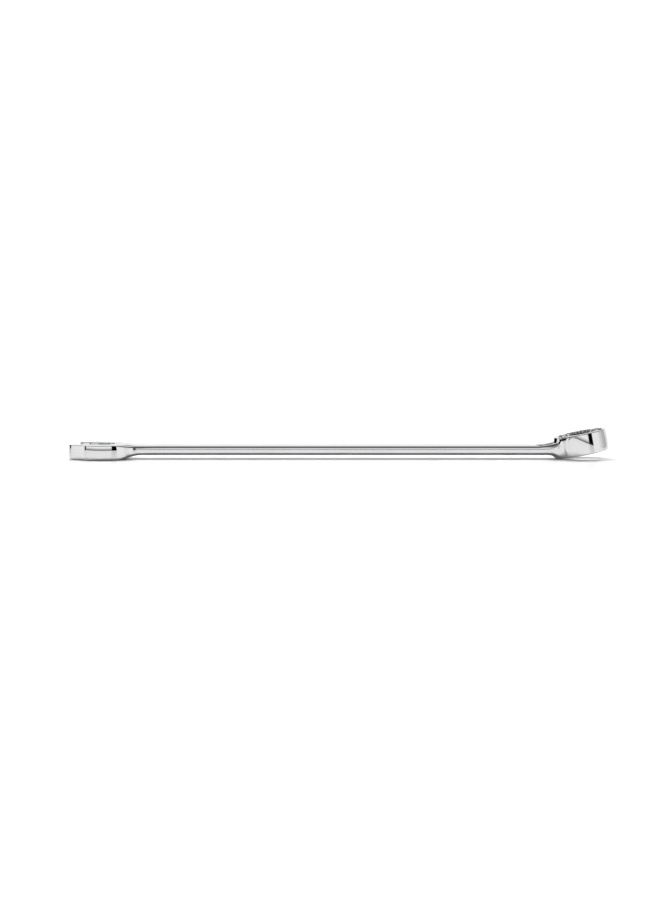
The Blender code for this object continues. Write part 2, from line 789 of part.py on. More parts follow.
def gear_snap_ring(parent):
    low = (GROOVE_LOW + GROOVE_HIGH - SNAP_THICKNESS) / 2.0
    return split_ring("gear_snap_ring", SEAT_RADIUS - SNAP_INSIDE, GROOVE_RADIUS - SNAP_SLACK,
                      low, low + SNAP_THICKNESS, RING_SPLIT, parent,
                      spring_material("snap_steel"))


def pawl_side():
    """Toothed front and the back of one half, on the +v side, pawl at its middle position."""
    pitch = 2.0 * math.pi / GEAR_TEETH
    front = []
    first = 2 * int(PAWL_TEETH_INNER / pitch) + 1
    last = 2 * int(PAWL_TEETH_OUTER / pitch) + 1
    for index in range(first, last + 1):
        angle = math.pi - index * pitch / 2.0
        radius = (TOOTH_ROOT if index % 2 == 0 else TOOTH_TIP) + PAWL_GAP
        point = (radius * math.cos(angle), radius * math.sin(angle))
        front.append(turn(point, PAWL_ROCK, (PAWL_PIVOT, 0.0)))
    return front


def pawl_outline():
    """Whole pawl in the head's frame, at its middle position."""
    front = pawl_side()
    outer = front[-1]
    back = [(outer[0] + x, outer[1] + y) for x, y in PAWL_SHOULDER] + list(PAWL_HEEL)
    notch = arc((LEVER_PIVOT, 0.0), PAWL_BACK_REACH, PAWL_NOTCH, 0.0)
    upper = [PAWL_RELIEF] + front + back + notch
    lower = [(x, -y) for x, y in reversed(upper[:-1])]
    return upper + lower


def pawl(parent):
    pivot = add_empty("pawl_pivot", (PAWL_PIVOT, 0.0, 0.0), (0.0, 0.0, PAWL_ROCK), parent)
    outline = [(x - PAWL_PIVOT, y) for x, y in pawl_outline()]
    return prism("pawl", outline, PAWL_LOW, PAWL_HIGH, pivot, steel_material("pawl_steel"))


def lever_pivot(parent):
    return add_empty("lever_pivot", (LEVER_PIVOT, 0.0, 0.0), (0.0, 0.0, -LEVER_SWING), parent)


def lever_plan():
    """Hub circle running into a narrower rounded tab that points to the shank."""
    tip_centre = (-(LEVER_REACH - LEVER_TIP_HALF), 0.0)
    start = math.pi / 2.0 + lever_lean()
    hub = arc((0.0, 0.0), LEVER_HUB, -start, start, FINE_STEP)
    tip = arc(tip_centre, LEVER_TIP_HALF, start, 2.0 * math.pi - start, math.radians(15.0))
    return hub + tip


def reversing_lever(pivot):
    material = make_material("lever_chrome", (0.78, 0.78, 0.79), 0.12, 1.0)
    lever = bevelled_prism("reversing_lever", lever_plan(), LEVER_LOW, LEVER_HIGH, LEVER_EDGE,
                           pivot, material)
    groove = SHAFT_RADIUS - 0.0004
    profile = [(0.0, SHAFT_LOW), (SHAFT_RADIUS - SHAFT_EDGE, SHAFT_LOW),
               (SHAFT_RADIUS, SHAFT_LOW + SHAFT_EDGE), (SHAFT_RADIUS, CLIP_LEVEL - CLIP_SLOT),
               (groove, CLIP_LEVEL - CLIP_SLOT), (groove, CLIP_LEVEL + CLIP_SLOT),
               (SHAFT_RADIUS, CLIP_LEVEL + CLIP_SLOT), (SHAFT_RADIUS, SHAFT_JOIN),
               (0.0, SHAFT_JOIN)]
    shaft = turned_solid("shaft_solid", profile, pivot, sides=40)
    bore = cross_cylinder("plunger_bore_cutter", PLUNGER_BORE, SPRING_START - SPRING_SLACK,
                          BORE_END, pivot)
    cut(lever, shaft, "UNION")
    cut(lever, bore)
    return lever


def cross_cylinder(name, radius, start, end, parent, material=None, dome=0.0, sides=20):
    """Round bar along the lever's own +u, at the plunger's level, with an optional domed end."""
    rings = [(start, radius)]
    if dome > 0.0:
        for step in range(4):
            angle = math.pi / 2.0 * step / 4.0
            rings.append((end - dome + dome * math.sin(angle), radius * math.cos(angle)))
        tip = end
    else:
        rings.append((end, radius))
        tip = None
    vertices = []
    faces = []
    for along, size in rings:
        for k in range(sides):
            angle = 2.0 * math.pi * k / sides
            vertices.append((along, size * math.cos(angle), PLUNGER_LEVEL + size * math.sin(angle)))
    for level in range(len(rings) - 1):
        for k in range(sides):
            following = (k + 1) % sides
            faces.append((level * sides + k, level * sides + following,
                          (level + 1) * sides + following, (level + 1) * sides + k))
    faces.append(tuple(range(sides)))
    last = (len(rings) - 1) * sides
    if tip is None:
        faces.append(tuple(range(last, last + sides)))
    else:
        vertices.append((tip, 0.0, PLUNGER_LEVEL))
        for k in range(sides):
            faces.append((last + k, last + (k + 1) % sides, len(vertices) - 1))
    return add_object(name, vertices, faces, parent, material)


def pawl_plunger(pivot):
    return cross_cylinder("pawl_plunger", PLUNGER_RADIUS, PLUNGER_START, PLUNGER_REACH, pivot,
                          steel_material("plunger_steel"), dome=PLUNGER_RADIUS, sides=16)


def pawl_spring(pivot):
    """Coil along the plunger's bore."""
    per_turn = 12
    sides = 6
    steps = int(SPRING_TURNS * per_turn)
    radius = PLUNGER_BORE - SPRING_SLACK - SPRING_WIRE
    low = SPRING_START + SPRING_SLACK + SPRING_WIRE
    high = SPRING_END - SPRING_WIRE
    vertices = []
    faces = []
    for step in range(steps + 1):
        angle = 2.0 * math.pi * step / per_turn
        along = low + (high - low) * step / steps
        outward = Vector((0.0, math.cos(angle), math.sin(angle)))
        for k in range(sides):
            turned = 2.0 * math.pi * k / sides
            offset = outward * (radius + SPRING_WIRE * math.cos(turned))
            vertices.append((along + SPRING_WIRE * math.sin(turned), offset.y,
                             PLUNGER_LEVEL + offset.z))
    for step in range(steps):
        for k in range(sides):
            following = (k + 1) % sides
            faces.append((step * sides + k, step * sides + following,
                          (step + 1) * sides + following, (step + 1) * sides + k))
    faces.append(tuple(range(sides)))
    faces.append(tuple(range(steps * sides, (steps + 1) * sides)))
    return add_object("pawl_spring", vertices, faces, pivot, spring_material("coil_steel"))


def lever_retaining_ring(parent):
    return split_ring("lever_retaining_ring", SHAFT_RADIUS - CLIP_BITE, BORE_RADIUS + 0.00015,
                      CLIP_LEVEL - CLIP_WIRE, CLIP_LEVEL + CLIP_WIRE, CLIP_SPLIT, parent,
                      spring_material("clip_steel"), LEVER_PIVOT, 30)


def bottom_centre(item):
    """Middle of the bounding box's underside, from the unmodified shell."""
    xs = [v.co.x for v in item.data.vertices]
    ys = [v.co.y for v in item.data.vertices]
    zs = [v.co.z for v in item.data.vertices]
    return ((min(xs) + max(xs)) / 2.0, (min(ys) + max(ys)) / 2.0, min(zs))


def build():
    clear_scene()
    root = add_empty("wrench_frame", (0.0, 0.0, 0.0))
    head_frame = add_empty("head_frame", (RING_X, 0.0, RING_Z), (0.0, -OFFSET_ANGLE, 0.0), root)
    body = wrench_body(root, head_frame)
    ratchet_gear(head_frame)
    gear_friction_washer(head_frame)
    gear_cover_ring(head_frame)
    gear_snap_ring(head_frame)
    pawl(head_frame)
    pivot = lever_pivot(head_frame)
    reversing_lever(pivot)
    pawl_plunger(pivot)
    pawl_spring(pivot)
    lever_retaining_ring(head_frame)
    middle = bottom_centre(body)
    root.location = (-middle[0], -middle[1], -middle[2])
    bpy.context.view_layer.update()


build()
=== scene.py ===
"""Studio scene of the reversible ratcheting wrench: fine pieces, finishes, floor, light, camera."""
import json
import math

import bmesh
import bpy
from mathutils import Matrix, Vector
from mathutils.geometry import convex_hull_2d, delaunay_2d_cdt


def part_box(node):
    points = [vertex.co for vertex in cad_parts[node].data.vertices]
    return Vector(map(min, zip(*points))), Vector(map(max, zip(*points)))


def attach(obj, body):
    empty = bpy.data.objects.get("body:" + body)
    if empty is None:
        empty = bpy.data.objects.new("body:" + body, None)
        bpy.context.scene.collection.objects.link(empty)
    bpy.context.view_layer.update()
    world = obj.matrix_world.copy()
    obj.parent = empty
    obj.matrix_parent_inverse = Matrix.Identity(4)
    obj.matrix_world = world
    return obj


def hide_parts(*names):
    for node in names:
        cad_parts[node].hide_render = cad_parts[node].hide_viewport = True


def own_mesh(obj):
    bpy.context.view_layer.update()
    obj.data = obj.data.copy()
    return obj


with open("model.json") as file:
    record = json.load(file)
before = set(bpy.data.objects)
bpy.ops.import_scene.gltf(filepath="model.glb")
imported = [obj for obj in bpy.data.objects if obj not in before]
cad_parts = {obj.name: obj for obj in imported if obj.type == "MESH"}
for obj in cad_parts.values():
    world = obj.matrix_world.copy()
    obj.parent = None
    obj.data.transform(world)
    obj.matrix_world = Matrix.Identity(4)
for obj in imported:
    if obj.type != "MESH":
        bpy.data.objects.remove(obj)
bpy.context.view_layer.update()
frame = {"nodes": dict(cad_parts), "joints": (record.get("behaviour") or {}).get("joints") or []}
JOINTS = {joint["name"]: joint for joint in frame["joints"]}
GEAR_AT = Vector(JOINTS["gear_spin"]["pos_m"])
AXIS_W = Vector(JOINTS["gear_spin"]["axis"]).normalized()
AXIS_V = Vector((0.0, 1.0, 0.0))
AXIS_U = AXIS_V.cross(AXIS_W).normalized()
LEVER_AT = Vector(JOINTS["lever_flip"]["pos_m"])
PAWL_AT = Vector(JOINTS["pawl_rock"]["pos_m"])
LEVER_U = Vector(JOINTS["plunger_slide"]["axis"]).normalized()
BODY_LOW, BODY_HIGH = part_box("wrench_body")

# ---------------------------------------------------------------- sizes (metres)
JAW_SIZE = 0.0130
JAW_CLEARANCE = 0.0002
HEAD_THICKNESS = 0.0068
SHANK_THICKNESS = 0.0043
SHANK_HALF_WIDTH = 0.0062
SHANK_LIFT = 0.0006
RING_RADIUS = 0.0121
RING_THICKNESS = 0.0099
OFFSET_ANGLE = math.asin(-AXIS_W.x)
RING_X = 0.2374
RING_Z = 0.007118
PLAN_ORIGIN = GEAR_AT - Vector((RING_X, 0.0, RING_Z))
JAW_TURN = math.radians(-15.0)
HEAD_X = 0.0154
TIP_REACH = 0.0136
THROAT_START = -0.0010
THROAT_DEPTH = 0.0045
TIP_OUTER = 0.0098
FLANK_CORNER = (0.0006, 0.0149)
SHOULDER = (-0.0105, 0.0109)
FLANK_RADIUS = 0.0140
TIP_RADIUS = 0.0028
MOUTH_RADIUS = 0.0010
SHOULDER_RADII = {1: 0.0150, -1: 0.0095}
NECK_RADII = {1: 0.0080, -1: 0.0035}
SHOULDER_SLOPE = math.radians(44.0)
EDGE_RADIUS = 0.0011
SHANK_LOWER_EDGE = 0.0016
JAW_EDGE = 0.0003
HEAD_EDGE = 0.00035
NECK_EDGE = 0.0014
RING_EDGE = 0.00045
ROLL_IN = 0.0012
ROLL_DOWN = 0.0042
WALL_DRAFT = math.radians(6.0)
BEND_LENGTH = 0.0060
RING_FILLET = 0.0080
RAMP_HEIGHT = 0.0026
TOP_STEP = (0.01215, 0.01330)
BOTTOM_STEP = (0.01220, 0.01650)
HEAD_BLEND = (0.0235, 0.0330)
GEAR_TEETH = 72
TOOTH_TIP = 0.00950
TOOTH_ROOT = 0.00900
GEAR_GAP = 0.00030
GEAR_LOW = -0.00475
GEAR_HIGH = 0.00480
TEETH_LOW = -0.0036
TEETH_HIGH = 0.0018
LOWER_COLLAR = 0.00845
UPPER_COLLAR = 0.00860
LIP_TOP = -0.0039
COVER_SEAT = 0.0025
SEAT_RADIUS = 0.01040
GROOVE_RADIUS = 0.01090
GROOVE_LOW = 0.0036
GROOVE_HIGH = 0.0044
PAWL_PIVOT = (PAWL_AT - GEAR_AT).dot(AXIS_U)
PAWL_ROCK = math.radians(6.5)
PAWL_LOW = -0.0019
PAWL_HIGH = 0.0008
POCKET_GAP = 0.00025
LEVER_PIVOT = (LEVER_AT - GEAR_AT).dot(AXIS_U)
LEVER_SWING = math.radians(18.0)
LEVER_HUB = 0.0031
LEVER_REACH = 0.0047
LEVER_TIP_HALF = 0.0013
LEVER_LOW = 0.00180
LEVER_HIGH = 0.00305
SEAT_FLOOR = 0.00155
SEAT_GAP = 0.00035
SHAFT_RADIUS = 0.00235
SHAFT_LOW = -0.0017
BORE_RADIUS = 0.00260
CLIP_LEVEL = 0.00085
CLIP_WIRE = 0.00020
PLUNGER_LEVEL = -0.00055
COIL_FROM = -0.00097
COIL_TO = 0.00122
COIL_RADIUS = 0.00062
COIL_WIRE = 0.00013
COIL_TURNS = 5.5
COIL_STEPS = 24
FINE_STEP = math.radians(2.5)
MOUTH_CHAMFER = 0.00025
CUT_PAST = 0.0004             # how far a cutter stands past the face that it opens
POCKET_WINDOW = 0.0018        # half width of the opening from the pawl's pocket to the bore
CLIP_PLAY = 0.00015
BORE_GROOVE_DEPTH = 0.0003
SHAFT_GROOVE_DEPTH = 0.0004
SHAFT_CHAMFER = 0.0002
LEVER_EDGE = 0.00045
SOCKET_LEAD_IN = 0.0012
SOCKET_LEAD_DEPTH = 0.0007
GEAR_TOP_EDGE = 0.0004
GEAR_LOWER_EDGE = 0.0002

# how far along the forging its edges change size; RING_* are distances before the gear's axis
NECK_EDGE_SPAN = (0.0200, 0.0280)
SHANK_EDGE_SPAN = (0.0300, 0.0390)
RING_EDGE_SPAN = (0.0130, 0.0020)
RING_LOWER_SPAN = (0.0180, 0.0100)
RING_ROLL_SPAN = (0.0155, 0.0118)
RING_ROLL_END = 0.0023
RING_ROLL_FADE = 0.0095

SHANK_SPANS = 60
ROUND_STEPS = 7
WALL_STEPS = 5


# ---------------------------------------------------------------- mesh helpers
def mesh_object(name, vertices, faces, matrix=None):
    mesh = bpy.data.meshes.new(name)
    mesh.from_pydata([tuple(v) for v in vertices], [], faces)
    mesh.update()
    work = bmesh.new()
    work.from_mesh(mesh)
    bmesh.ops.recalc_face_normals(work, faces=work.faces)
    work.to_mesh(mesh)
    work.free()
    if matrix is not None:
        mesh.transform(matrix)
    item = bpy.data.objects.new(name, mesh)
    bpy.context.scene.collection.objects.link(item)
    return item


def head_matrix(at=None, u=None):
    """Row-frame matrix of the head's frame; other origins and u directions on request."""
    origin = GEAR_AT if at is None else at
    along = AXIS_U if u is None else u
    across = AXIS_W.cross(along).normalized()
    matrix = Matrix((along, across, AXIS_W)).transposed().to_4x4()
    matrix.translation = origin
    return matrix


def finish_shading(item, angle=30.0):
    """Smooth faces, sharp edges above the angle, normals weighted to the large faces."""
    item.data.shade_smooth()
    item.data.set_sharp_from_angle(angle=math.radians(angle))
    weighted = item.modifiers.new("weighted_normals", "WEIGHTED_NORMAL")
    weighted.mode = "FACE_AREA_WITH_ANGLE"
    weighted.weight = 50
    weighted.keep_sharp = True


def turned(profile, sides, centre=(0.0, 0.0)):
    """Vertices and faces of a profile turned about w; ends on the axis are closed by fans."""
    vertices = []
    faces = []
    count = len(profile)
    open_profile = profile[0][0] <= 0.0
    for step in range(sides):
        angle = 2.0 * math.pi * step / sides
        for radius, height in profile:
            vertices.append((centre[0] + radius * math.cos(angle),
                             centre[1] + radius * math.sin(angle), height))
    spans = range(1, count - 2) if open_profile else range(count)
    for step in range(sides):
        following = (step + 1) % sides
        for index in spans:
            nearby = (index + 1) % count
            faces.append((step * count + index, following * count + index,
                          following * count + nearby, step * count + nearby))
    if open_profile:
        faces.append(tuple(step * count + 1 for step in range(sides)))
        faces.append(tuple(step * count + count - 2 for step in range(sides)))
    return vertices, faces


def drop_loose(item):
    work = bmesh.new()
    work.from_mesh(item.data)
    loose = [v for v in work.verts if not v.link_faces]
    bmesh.ops.delete(work, geom=loose, context="VERTS")
    work.to_mesh(item.data)
    work.free()
    return item


def turned_object(name, profile, sides, matrix, centre=(0.0, 0.0)):
    vertices, faces = turned(profile, sides, centre)
    return drop_loose(mesh_object(name, vertices, faces, matrix))


def stack(levels):
    """Closed solid through outlines of equal length."""
    count = len(levels[0][0])
    vertices = [(x, y, height) for outline, height in levels for x, y in outline]
    faces = [tuple(range(count - 1, -1, -1))]
    for level in range(len(levels) - 1):
        base = level * count
        for index in range(count):
            following = (index + 1) % count
            faces.append((base + index, base + following,
                          base + count + following, base + count + index))
    faces.append(tuple(range((len(levels) - 1) * count, len(levels) * count)))
    return vertices, faces


def arc(centre, radius, start, end, step=FINE_STEP):
    count = max(2, int(math.ceil(abs(end - start) / step)))
    points = []
    for index in range(count + 1):
        angle = start + (end - start) * index / count
        points.append((centre[0] + radius * math.cos(angle),
                       centre[1] + radius * math.sin(angle)))
    return points


def turn(point, angle, centre=(0.0, 0.0)):
    x = point[0] - centre[0]
    y = point[1] - centre[1]
    return (centre[0] + x * math.cos(angle) - y * math.sin(angle),
            centre[1] + x * math.sin(angle) + y * math.cos(angle))


def outline_normals(points):
    normals = []
    count = len(points)
    for index in range(count):
        before = Vector(points[index - 1])
        here = Vector(points[index])
        after = Vector(points[(index + 1) % count])
        first = (here - before).normalized()
        second = (after - here).normalized()
        along = (first + second).normalized()
        stretch = 1.0 / max(0.5, along.dot(first))
        normals.append((along.y * stretch, -along.x * stretch))
    return normals


def smooth(low, high, value):
    share = min(1.0, max(0.0, (value - low) / (high - low)))
    return share * share * (3.0 - 2.0 * share)


def rounded_corner(before, corner, after, radius):
    a = Vector(before) - Vector(corner)
    b = Vector(after) - Vector(corner)
    half = a.angle(b) / 2.0
    a.normalize()
    b.normalize()
    reach = radius / math.tan(half)
    start = Vector(corner) + a * reach
    end = Vector(corner) + b * reach
    centre = Vector(corner) + (a + b).normalized() * (radius / math.sin(half))
    first = math.atan2(start.y - centre.y, start.x - centre.x)
    last = math.atan2(end.y - centre.y, end.x - centre.x)
    sweep = (last - first + math.pi) % (2.0 * math.pi) - math.pi
    step = FINE_STEP if radius > 0.004 else 3.0 * FINE_STEP
    return arc(centre, radius, first, first + sweep, step)


# ---------------------------------------------------------------- plan of the forging
def head_point(point, side):
    turned_point = turn((-point[0], -side * point[1]), JAW_TURN)
    return (HEAD_X + turned_point[0], turned_point[1])


def shank_corner(side):
    shoulder = head_point(SHOULDER, side)
    edge = -math.copysign(SHANK_HALF_WIDTH, side)
    return (shoulder[0] + abs(shoulder[1] - edge) / math.tan(SHOULDER_SLOPE), edge)


def head_side(side):
    """One side of the open end, from the throat's middle out and back to the shank."""
    gap = (JAW_SIZE + JAW_CLEARANCE) / 2.0
    mouth = head_point((TIP_REACH, gap), side)
    tip = head_point((TIP_REACH, TIP_OUTER), side)
    flank = head_point(FLANK_CORNER, side)
    shoulder = head_point(SHOULDER, side)
    neck = shank_corner(side)
    inside = head_point((THROAT_START, gap), side)
    far = (neck[0] + 0.05, neck[1])
    machined = []
    steps = 24
    for index in range(steps):
        angle = math.pi / 2.0 * index / steps
        machined.append(head_point((THROAT_START - THROAT_DEPTH * math.cos(angle),
                                    gap * math.sin(angle)), side))
    spans = 12
    for index in range(spans):
        reach = THROAT_START + (TIP_REACH - 1.2 * MOUTH_RADIUS - THROAT_START) * index / spans
        machined.append(head_point((reach, gap), side))
    points = list(machined)
    points += rounded_corner(inside, mouth, tip, MOUTH_RADIUS)
    points += rounded_corner(mouth, tip, flank, TIP_RADIUS)
    points += rounded_corner(tip, flank, shoulder, FLANK_RADIUS)
    points += rounded_corner(flank, shoulder, neck, SHOULDER_RADII[side])
    points += rounded_corner(shoulder, neck, far, NECK_RADII[side])
    return points, len(machined)


def ring_side():
    across = SHANK_HALF_WIDTH + RING_FILLET
    along = -math.sqrt((RING_RADIUS + RING_FILLET) ** 2 - across ** 2)
    meeting = math.atan2(across, along)
    centre = (RING_S + along, across)
    points = arc(centre, RING_FILLET, -math.pi / 2.0, meeting - math.pi)
    points += arc((RING_S, 0.0), RING_RADIUS, meeting, 0.0)[1:]
    return points


def straight_run(start, end, spans):
    return [(start[0] + (end[0] - start[0]) * k / spans, start[1]) for k in range(1, spans)]


def forging_outline():
    """Counter-clockwise plan outline, with a mark on every machined point."""
    near, near_machined = head_side(1)
    far, far_machined = head_side(-1)
    right = ring_side()
    lower = [(p[0], -p[1]) for p in right]
    upper = right[:-1][::-1]
    plain = straight_run(near[-1], lower[0], SHANK_SPANS) + lower + upper
    plain += straight_run(upper[-1], far[-1], SHANK_SPANS)
    points = near + plain + far[:0:-1]
    marks = [k < near_machined for k in range(len(near))] + [False] * len(plain)
    marks += [k < far_machined for k in range(len(far) - 1, 0, -1)]
    return points, marks


# ---------------------------------------------------------------- heights of the forging
BEND_RADIUS = BEND_LENGTH / OFFSET_ANGLE
SHANK_Z = HEAD_THICKNESS / 2.0 + SHANK_LIFT
BEND_X = RING_X - (RING_Z - SHANK_Z) / math.tan(OFFSET_ANGLE)
BEND_START = BEND_X - BEND_RADIUS * math.tan(OFFSET_ANGLE / 2.0)
BEND_END = BEND_START + BEND_LENGTH
RING_S = (BEND_END + (RING_X - BEND_X) / math.cos(OFFSET_ANGLE)
          - BEND_RADIUS * math.tan(OFFSET_ANGLE / 2.0))


def centreline(s):
    level = HEAD_THICKNESS / 2.0 + SHANK_LIFT * smooth(HEAD_BLEND[0], HEAD_BLEND[1], s)
    if s <= BEND_START:
        return s, level, 0.0
    if s <= BEND_END:
        lean = (s - BEND_START) / BEND_RADIUS
        return (BEND_START + BEND_RADIUS * math.sin(lean),
                SHANK_Z + BEND_RADIUS * (1.0 - math.cos(lean)), lean)
    rest = s - BEND_END
    x = BEND_START + BEND_RADIUS * math.sin(OFFSET_ANGLE) + rest * math.cos(OFFSET_ANGLE)
    z = SHANK_Z + BEND_RADIUS * (1.0 - math.cos(OFFSET_ANGLE)) + rest * math.sin(OFFSET_ANGLE)
    return x, z, OFFSET_ANGLE


def in_space(s, y, height):
    x, z, lean = centreline(s)
    return PLAN_ORIGIN + Vector((x - height * math.sin(lean), y, z + height * math.cos(lean)))


def ramp_above(s):
    x, z, lean = centreline(s)
    across = ((z - RING_Z) * math.cos(OFFSET_ANGLE) - (x - RING_X) * math.sin(OFFSET_ANGLE))
    return (RAMP_HEIGHT - across) / math.cos(OFFSET_ANGLE - lean)


def half_heights(s, y):
    blend = smooth(HEAD_BLEND[0], HEAD_BLEND[1], s)
    plain = (HEAD_THICKNESS + (SHANK_THICKNESS - HEAD_THICKNESS) * blend) / 2.0
    from_axis = math.hypot(s - RING_S, y)
    top = plain
    if s > BEND_START - 0.01:
        top = soft_max(plain, ramp_above(s), 0.00012)
    full = RING_THICKNESS / 2.0
    top += (full - top) * (1.0 - smooth(TOP_STEP[0], TOP_STEP[1], from_axis))
    low = plain + (full - plain) * (1.0 - smooth(BOTTOM_STEP[0], BOTTOM_STEP[1], from_axis))
    return top, low


def soft_max(a, b, width):
    """Larger of two values with the crossing rounded off."""
    gap = abs(a - b)
    if gap >= width:
        return max(a, b)
    return max(a, b) + (width - gap) ** 2 / (4.0 * width)


def edge_radius(s):
    """Small on the ground head, fullest on its neck, plain along the shank, small on the ring."""
    growing = HEAD_EDGE + (NECK_EDGE - HEAD_EDGE) * smooth(*NECK_EDGE_SPAN, s)
    shank = growing + (EDGE_RADIUS - NECK_EDGE) * smooth(*SHANK_EDGE_SPAN, s)
    on_ring = smooth(RING_S - RING_EDGE_SPAN[0], RING_S - RING_EDGE_SPAN[1], s)
    return shank + (RING_EDGE - EDGE_RADIUS) * on_ring


def lower_edge_radius(s):
    """Like the upper edge, but fuller along the shank."""
    on_ring = smooth(RING_S - RING_LOWER_SPAN[0], RING_S - RING_LOWER_SPAN[1], s)
    along = smooth(*SHANK_EDGE_SPAN, s) * (1.0 - on_ring)
    return edge_radius(s) + (SHANK_LOWER_EDGE - EDGE_RADIUS) * along


def top_roll(s):
    """(inward, downward) radii of the top edge, which rolls over where the neck meets the ring."""
    edge = edge_radius(s)
    share = (smooth(RING_S - RING_ROLL_SPAN[0], RING_S - RING_ROLL_SPAN[1], s)
             * min(1.0, max(0.0, (RING_S - RING_ROLL_END - s) / RING_ROLL_FADE)))
    return edge + (ROLL_IN - edge) * share, edge + (ROLL_DOWN - edge) * share


def wall_profile(half, inward, downward, draft):
    """(inset, height) pairs from the face's edge down to the middle line."""
    first = math.atan(math.tan(draft) * downward / inward)
    straight = half - downward * (1.0 - math.sin(first))
    bulge = straight * math.tan(draft / 2.0)
    levels = []
    for step in range(ROUND_STEPS + 1):
        angle = math.pi / 2.0 + (first - math.pi / 2.0) * step / ROUND_STEPS
        levels.append((bulge + inward * (math.cos(first) - math.cos(angle)),
                       straight + downward * (math.sin(angle) - math.sin(first))))
    for step in range(1, WALL_STEPS + 1):
        height = straight * (1.0 - step / WALL_STEPS)
        levels.append((bulge * (height / straight) ** 2, height))
    return levels


def grid_points(low, high, reach, step):
    points = []
    s = low
    while s < high:
        y = -reach
        while y <= reach:
            points.append((s, y))
            y += step
        s += step
    return points


def outline_distance(point, outline):
    best = 1.0
    here = Vector(point)
    for other in outline:
        if abs(other[0] - point[0]) < best:
            best = min(best, (Vector(other) - here).length)
    return best


def step_points():
    """Points on arcs about the gear's axis, so that the edges follow the step up to the ring."""
    points = []
    rows = 10
    rise = (TOP_STEP[1] - TOP_STEP[0]) / rows
    for row in range(-3, rows + 4):
        radius = TOP_STEP[0] + rise * row
        for step in range(-46, 47):
            angle = math.pi + math.radians(1.6) * step
            points.append((RING_S + radius * math.cos(angle), radius * math.sin(angle)))
    return points


def face_stations(plan):
    """Points inside the faces, close together where the faces bend."""
    stations = [p for p in grid_points(RING_S - 0.0240, RING_S - 0.0090, 0.0114, 0.00042)
                if not -0.0007 < math.hypot(p[0] - RING_S, p[1]) - TOP_STEP[0] < 0.0018]
    stations += step_points()
    stations += grid_points(HEAD_BLEND[0] - 0.0012, HEAD_BLEND[1] + 0.0012, 0.0066, 0.0008)
    kept = []
    for s, y in stations:
        near_ring = math.hypot(s - RING_S, y) < SEAT_RADIUS + 0.0004
        near_lever = math.hypot(s - RING_S - LEVER_PIVOT, y) < LEVER_HUB - 0.0004
        if near_ring or near_lever:
            continue
        if outline_distance((s, y), plan) > 0.00022:
            kept.append((s, y))
    return kept


def forging_shell():
    outline, machined = forging_outline()
    normals = outline_normals(outline)
    count = len(outline)
    half_rows = ROUND_STEPS + 1 + WALL_STEPS
    total = 2 * half_rows - 1
    rows = [[] for _ in range(total)]
    plan = []
    for index, point in enumerate(outline):
        draft = 0.0 if machined[index] else WALL_DRAFT
        low_edge = JAW_EDGE if machined[index] else lower_edge_radius(point[0])
        rolls = ((JAW_EDGE, JAW_EDGE) if machined[index] else top_roll(point[0]),
                 (low_edge, low_edge))
        halves = half_heights(point[0], point[1])
        for side, half, roll in ((1, halves[0], rolls[0]), (-1, halves[1], rolls[1])):
            for row, (inset, height) in enumerate(wall_profile(half, roll[0], roll[1], draft)):
                s = point[0] - normals[index][0] * inset
                y = point[1] - normals[index][1] * inset
                if row == 0:
                    height = half_heights(s, y)[0 if side == 1 else 1]
                    if side == 1:
                        plan.append((s, y))
                if side == -1 and row == half_rows - 1:
                    continue
                place = row if side == 1 else total - 1 - row
                rows[place].append(in_space(s, y, side * height))
    vertices = [vertex for row in rows for vertex in row]
    faces = []
    for row in range(total - 1):
        for index in range(count):
            following = (index + 1) % count
            faces.append(((row + 1) * count + index, (row + 1) * count + following,
                          row * count + following, row * count + index))
    fill_faces(plan, vertices, faces, count, (total - 1) * count)
    return vertices, faces


def fill_faces(plan, vertices, faces, count, low_start):
    seeds = [Vector(p) for p in plan] + [Vector(p) for p in face_stations(plan)]
    found = delaunay_2d_cdt(seeds, [], [list(range(count))], 1, 1e-9)
    top_index = []
    low_index = []
    for place, point in enumerate(found[0]):
        source = [k for k in found[3][place] if k < count]
        if source:
            top_index.append(source[0])
            low_index.append(low_start + source[0])
            continue
        top, low = half_heights(point.x, point.y)
        top_index.append(len(vertices))
        vertices.append(in_space(point.x, point.y, top))
        low_index.append(len(vertices))
        vertices.append(in_space(point.x, point.y, -low))
    for triangle in found[2]:
        faces.append(tuple(top_index[k] for k in triangle))
        faces.append(tuple(low_index[k] for k in reversed(triangle)))


def fit_in_box(item, low, high):
    """Scales the piece on each axis so that its box becomes exactly the frame's."""
    for k in range(3):
        places = [v.co[k] for v in item.data.vertices]
        least, most = min(places), max(places)
        share = (high[k] - low[k]) / (most - least)
        for vertex in item.data.vertices:
            vertex.co[k] = low[k] + (vertex.co[k] - least) * share


# ---------------------------------------------------------------- machined pockets
def gear_cavity():
    half = RING_THICKNESS / 2.0
    lower = LOWER_COLLAR + GEAR_GAP
    profile = [(0.0, -half - CUT_PAST), (lower + MOUTH_CHAMFER + CUT_PAST, -half - CUT_PAST),
               (lower, -half + MOUTH_CHAMFER), (lower, LIP_TOP),
               (TOOTH_TIP + GEAR_GAP, LIP_TOP), (TOOTH_TIP + GEAR_GAP, COVER_SEAT),
               (SEAT_RADIUS, COVER_SEAT), (SEAT_RADIUS, GROOVE_LOW),
               (GROOVE_RADIUS, GROOVE_LOW), (GROOVE_RADIUS, GROOVE_HIGH),
               (SEAT_RADIUS, GROOVE_HIGH), (SEAT_RADIUS, half - MOUTH_CHAMFER),
               (SEAT_RADIUS + MOUTH_CHAMFER + CUT_PAST, half + CUT_PAST), (0.0, half + CUT_PAST)]
    return turned_object("cavity_cutter", profile, 144, head_matrix())


